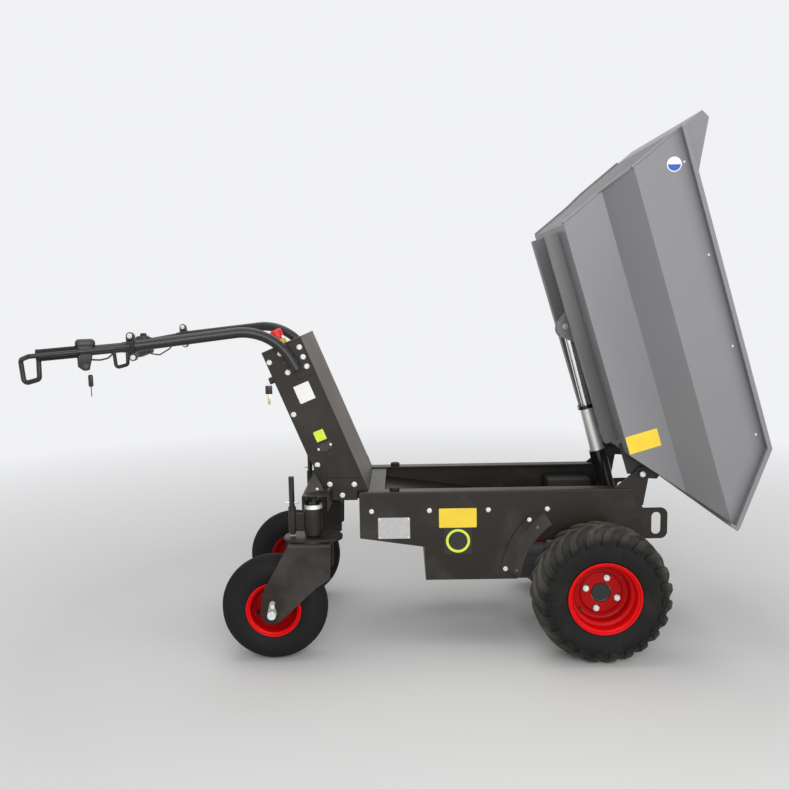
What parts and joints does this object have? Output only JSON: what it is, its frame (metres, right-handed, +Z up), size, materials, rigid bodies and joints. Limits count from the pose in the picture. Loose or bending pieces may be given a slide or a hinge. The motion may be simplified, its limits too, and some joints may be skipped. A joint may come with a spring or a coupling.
{
  "type": "walk-behind site dumper",
  "caption": "Walk-behind electric mini dumper with a tipping skip, two driven wheels, swivel casters, a control tower and a long handlebar.",
  "frame": {"origin": "on the floor, at the middle of the machine's length and width", "axes": "+X towards the dumping end, +Y to the machine's left, +Z up"},
  "size_m": [2.1732, 0.8492, 1.6197],
  "materials": {
    "frame_paint": "satin charcoal powder coat",
    "cover_paint": "semi-gloss charcoal",
    "skip_paint": "mid grey powder coat",
    "hinge_paint": "satin black paint",
    "rim_paint": "gloss red",
    "tyre": "ribbed black rubber",
    "rubber": "soft black rubber",
    "zinc": "bright zinc plate",
    "black_steel": "satin black paint",
    "sleeve_metal": "smooth silver tube",
    "chrome": "hard chrome",
    "motor_case": "dark casting",
    "battery_case": "black battery case",
    "black_plastic": "moulded black plastic",
    "signal_red": "red moulded plastic",
    "signal_yellow": "yellow moulded plastic"
  },
  "bodies": {
    "chassis": {"axle_saddles": "frame_paint", "battery": "battery_case", "battery_cover": "frame_paint", "belly_tray": "frame_paint", "caster_beam": "frame_paint", "charge_socket": "black_plastic", "control_leads": "black_plastic", "control_units": "black_plastic", "controller_box": "black_plastic", "cylinder_clevis": "frame_paint", "deck_plate": "frame_paint", "drive_axle": "frame_paint", "drive_motor": "motor_case", "e_stop_base": "signal_yellow", "e_stop_button": "signal_red", "front_plate": "frame_paint", "grip_bars": "black_steel", "grip_sleeves": "rubber", "handle_clamps": "black_steel", "handle_patches": "frame_paint", "handle_tubes": "black_steel", "hinge_brackets": "frame_paint", "hinge_pins": "zinc", "key_switch": "black_plastic", "lock_pins": "black_steel", "neck_rails": "frame_paint", "rest_pads": "rubber", "side_plates": "frame_paint", "swivel_housings": "frame_paint", "tower_cap": "cover_paint", "tower_cover": "cover_paint", "tower_feet": "frame_paint", "tower_shell": "frame_paint", "wheel_guards": "frame_paint"},
    "skip": {"skip_shell": "skip_paint", "skip_rim": "skip_paint", "skip_headboard": "skip_paint", "skip_runners": "skip_paint", "hinge_lugs": "hinge_paint", "cylinder_lugs": "skip_paint"},
    "tipping_barrel": {"cylinder_barrel": "black_steel", "cylinder_sleeve": "sleeve_metal", "cylinder_gland": "black_steel"},
    "tipping_rod": {"cylinder_rod": "chrome"},
    "drive_wheel_left": {"drive_tyre_left": "tyre", "drive_rim_left": "rim_paint", "drive_hub_left": "zinc"},
    "caster_swivel_left": {"caster_fork_left": "frame_paint", "spindle_nut_left": "zinc", "caster_axle_left": "zinc"},
    "caster_wheel_left": {"caster_tyre_left": "tyre", "caster_rim_left": "rim_paint"},
    "drive_wheel_right": {"drive_tyre_right": "tyre", "drive_rim_right": "rim_paint", "drive_hub_right": "zinc"},
    "caster_swivel_right": {"caster_fork_right": "frame_paint", "spindle_nut_right": "zinc", "caster_axle_right": "zinc"},
    "caster_wheel_right": {"caster_tyre_right": "tyre", "caster_rim_right": "rim_paint"}
  },
  "joints": [
    {"name": "skip_tilt", "type": "hinge", "parent": "chassis", "child": "skip", "pos_m": [0.758, 0, 0.553], "axis": [0, -1, 0], "range_deg": [0, 73.5]},
    {"name": "barrel_swing", "type": "hinge", "parent": "chassis", "child": "tipping_barrel", "pos_m": [0.731, 0, 0.34], "axis": [0, -1, 0], "range_deg": [0, 57.41]},
    {"name": "rod_slide", "type": "slide", "parent": "tipping_barrel", "child": "tipping_rod", "axis": [-0.251, 0, 0.968], "range_m": [-0.2006, 0]},
    {"name": "drive_spin_left", "type": "hinge", "parent": "chassis", "child": "drive_wheel_left", "pos_m": [0.608, 0.3065, 0.2115], "axis": [0, 1, 0], "continuous": true},
    {"name": "caster_turn_left", "type": "hinge", "parent": "chassis", "child": "caster_swivel_left", "pos_m": [-0.269, 0.261, 0.43], "axis": [0, 0, 1], "continuous": true},
    {"name": "caster_spin_left", "type": "hinge", "parent": "caster_swivel_left", "child": "caster_wheel_left", "pos_m": [-0.395, 0.261, 0.165], "axis": [0, 1, 0], "continuous": true},
    {"name": "drive_spin_right", "type": "hinge", "parent": "chassis", "child": "drive_wheel_right", "pos_m": [0.608, -0.3065, 0.2115], "axis": [0, 1, 0], "continuous": true},
    {"name": "caster_turn_right", "type": "hinge", "parent": "chassis", "child": "caster_swivel_right", "pos_m": [-0.269, -0.261, 0.43], "axis": [0, 0, 1], "continuous": true},
    {"name": "caster_spin_right", "type": "hinge", "parent": "caster_swivel_right", "child": "caster_wheel_right", "pos_m": [-0.395, -0.261, 0.165], "axis": [0, 1, 0], "continuous": true}
  ],
  "couplings": [
    {"joint": "barrel_swing", "follows": "skip_tilt", "ratio": 0.78047},
    {"joint": "rod_slide", "follows": "skip_tilt", "m_per_rad": -0.15596}
  ]
}
